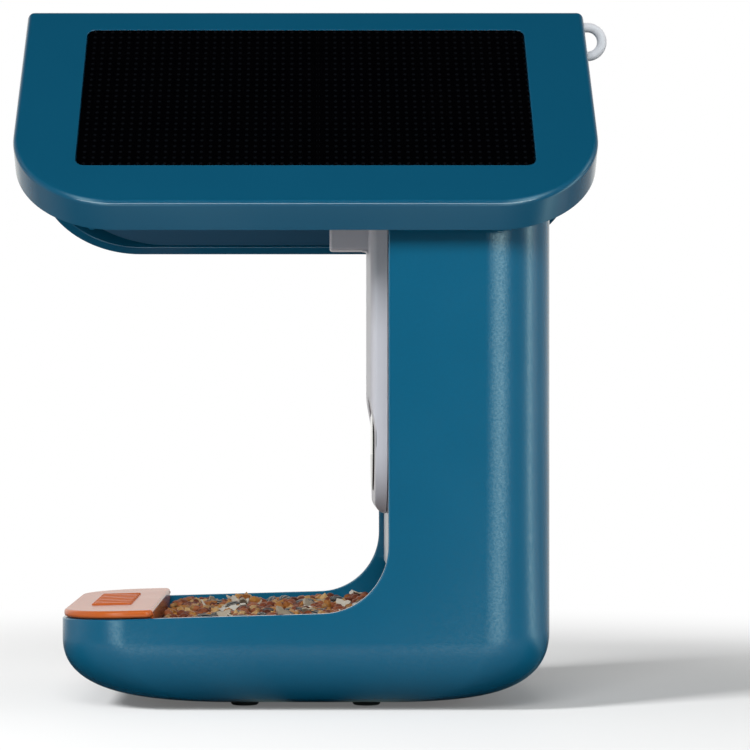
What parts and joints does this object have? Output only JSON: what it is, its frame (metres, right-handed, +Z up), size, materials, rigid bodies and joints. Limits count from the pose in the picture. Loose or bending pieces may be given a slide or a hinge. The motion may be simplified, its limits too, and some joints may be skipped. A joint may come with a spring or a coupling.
{
  "type": "smart bird feeder",
  "caption": "C-shaped bird feeder with a seed tray, a hopper column with a camera module, and a hinged gable roof that carries solar panels.",
  "frame": {"origin": "Middle of the bounding box in plan, on the surface that the feet stand on.", "axes": "+Z up; -X is the front, where the tray and the perch are; +Y is the side away from the picture's camera."},
  "size_m": [0.219, 0.1568, 0.2584],
  "materials": {
    "housing_plastic": "satin, fine moulded texture",
    "roof_plastic": "semi-gloss",
    "cover_plastic": "satin",
    "perch_plastic": "semi-gloss",
    "module_plastic": "satin",
    "clear_panel": "clear, polished",
    "dark_plastic": "matte",
    "seed_mix": "dry seed",
    "foot_rubber": "matte",
    "insert_brass": "machined",
    "steel": "plain",
    "window_glass": "polished, dark",
    "lens_glass": "coated",
    "solar_glass": "satin, fine dot grid",
    "board_laminate": "solder mask",
    "cell_sleeve": "shrink sleeve",
    "button_plastic": "satin",
    "eye_plastic": "satin"
  },
  "bodies": {
    "root": {"body_housing": "housing_plastic", "foot_front_right": "foot_rubber", "foot_front_left": "foot_rubber", "foot_rear_right": "foot_rubber", "foot_rear_left": "foot_rubber", "bracket_insert": "insert_brass", "front_panel": "clear_panel", "camera_dock": "module_plastic", "seed_ramp": "dark_plastic", "seed_bed": "seed_mix", "hinge_pin": "steel"},
    "perch": {"perch_cap": "perch_plastic"},
    "camera": {"camera_face": "module_plastic", "camera_housing": "module_plastic", "lens_window": "window_glass", "lens_barrel": "dark_plastic", "lens_glass": "lens_glass", "circuit_board": "board_laminate", "battery_cell_right": "cell_sleeve", "battery_cell_left": "cell_sleeve", "button_switch": "dark_plastic", "control_board": "board_laminate", "charging_port": "steel"},
    "button": {"power_button": "button_plastic"},
    "flap": {"port_flap": "foot_rubber"},
    "roof": {"roof_shell": "roof_plastic", "roof_cover_left": "cover_plastic", "roof_cover_right": "cover_plastic", "solar_panel_left": "solar_glass", "solar_panel_right": "solar_glass", "hang_eye": "eye_plastic"}
  },
  "joints": [
    {"name": "roof_hinge", "type": "hinge", "parent": "root", "child": "roof", "pos_m": [0.08851, 0, 0.194], "axis": [0, 1, 0], "range_deg": [0, 80]},
    {"name": "camera_pull", "type": "slide", "parent": "root", "child": "camera", "axis": [-1, 0, 0], "range_m": [0, 0.045]},
    {"name": "perch_lift", "type": "slide", "parent": "root", "child": "perch", "axis": [0, 0, 1], "range_m": [0, 0.035]},
    {"name": "button_press", "type": "slide", "parent": "camera", "child": "button", "axis": [1, 0, 0], "range_m": [0, 0.0008], "stiffness_N_per_m": 600, "springref_m": -0.001},
    {"name": "flap_swing", "type": "hinge", "parent": "camera", "child": "flap", "pos_m": [0.01991, 0.018, 0.1789], "axis": [0, -1, 0], "range_deg": [0, 95], "stiffness_Nm_per_rad": 0.001}
  ]
}
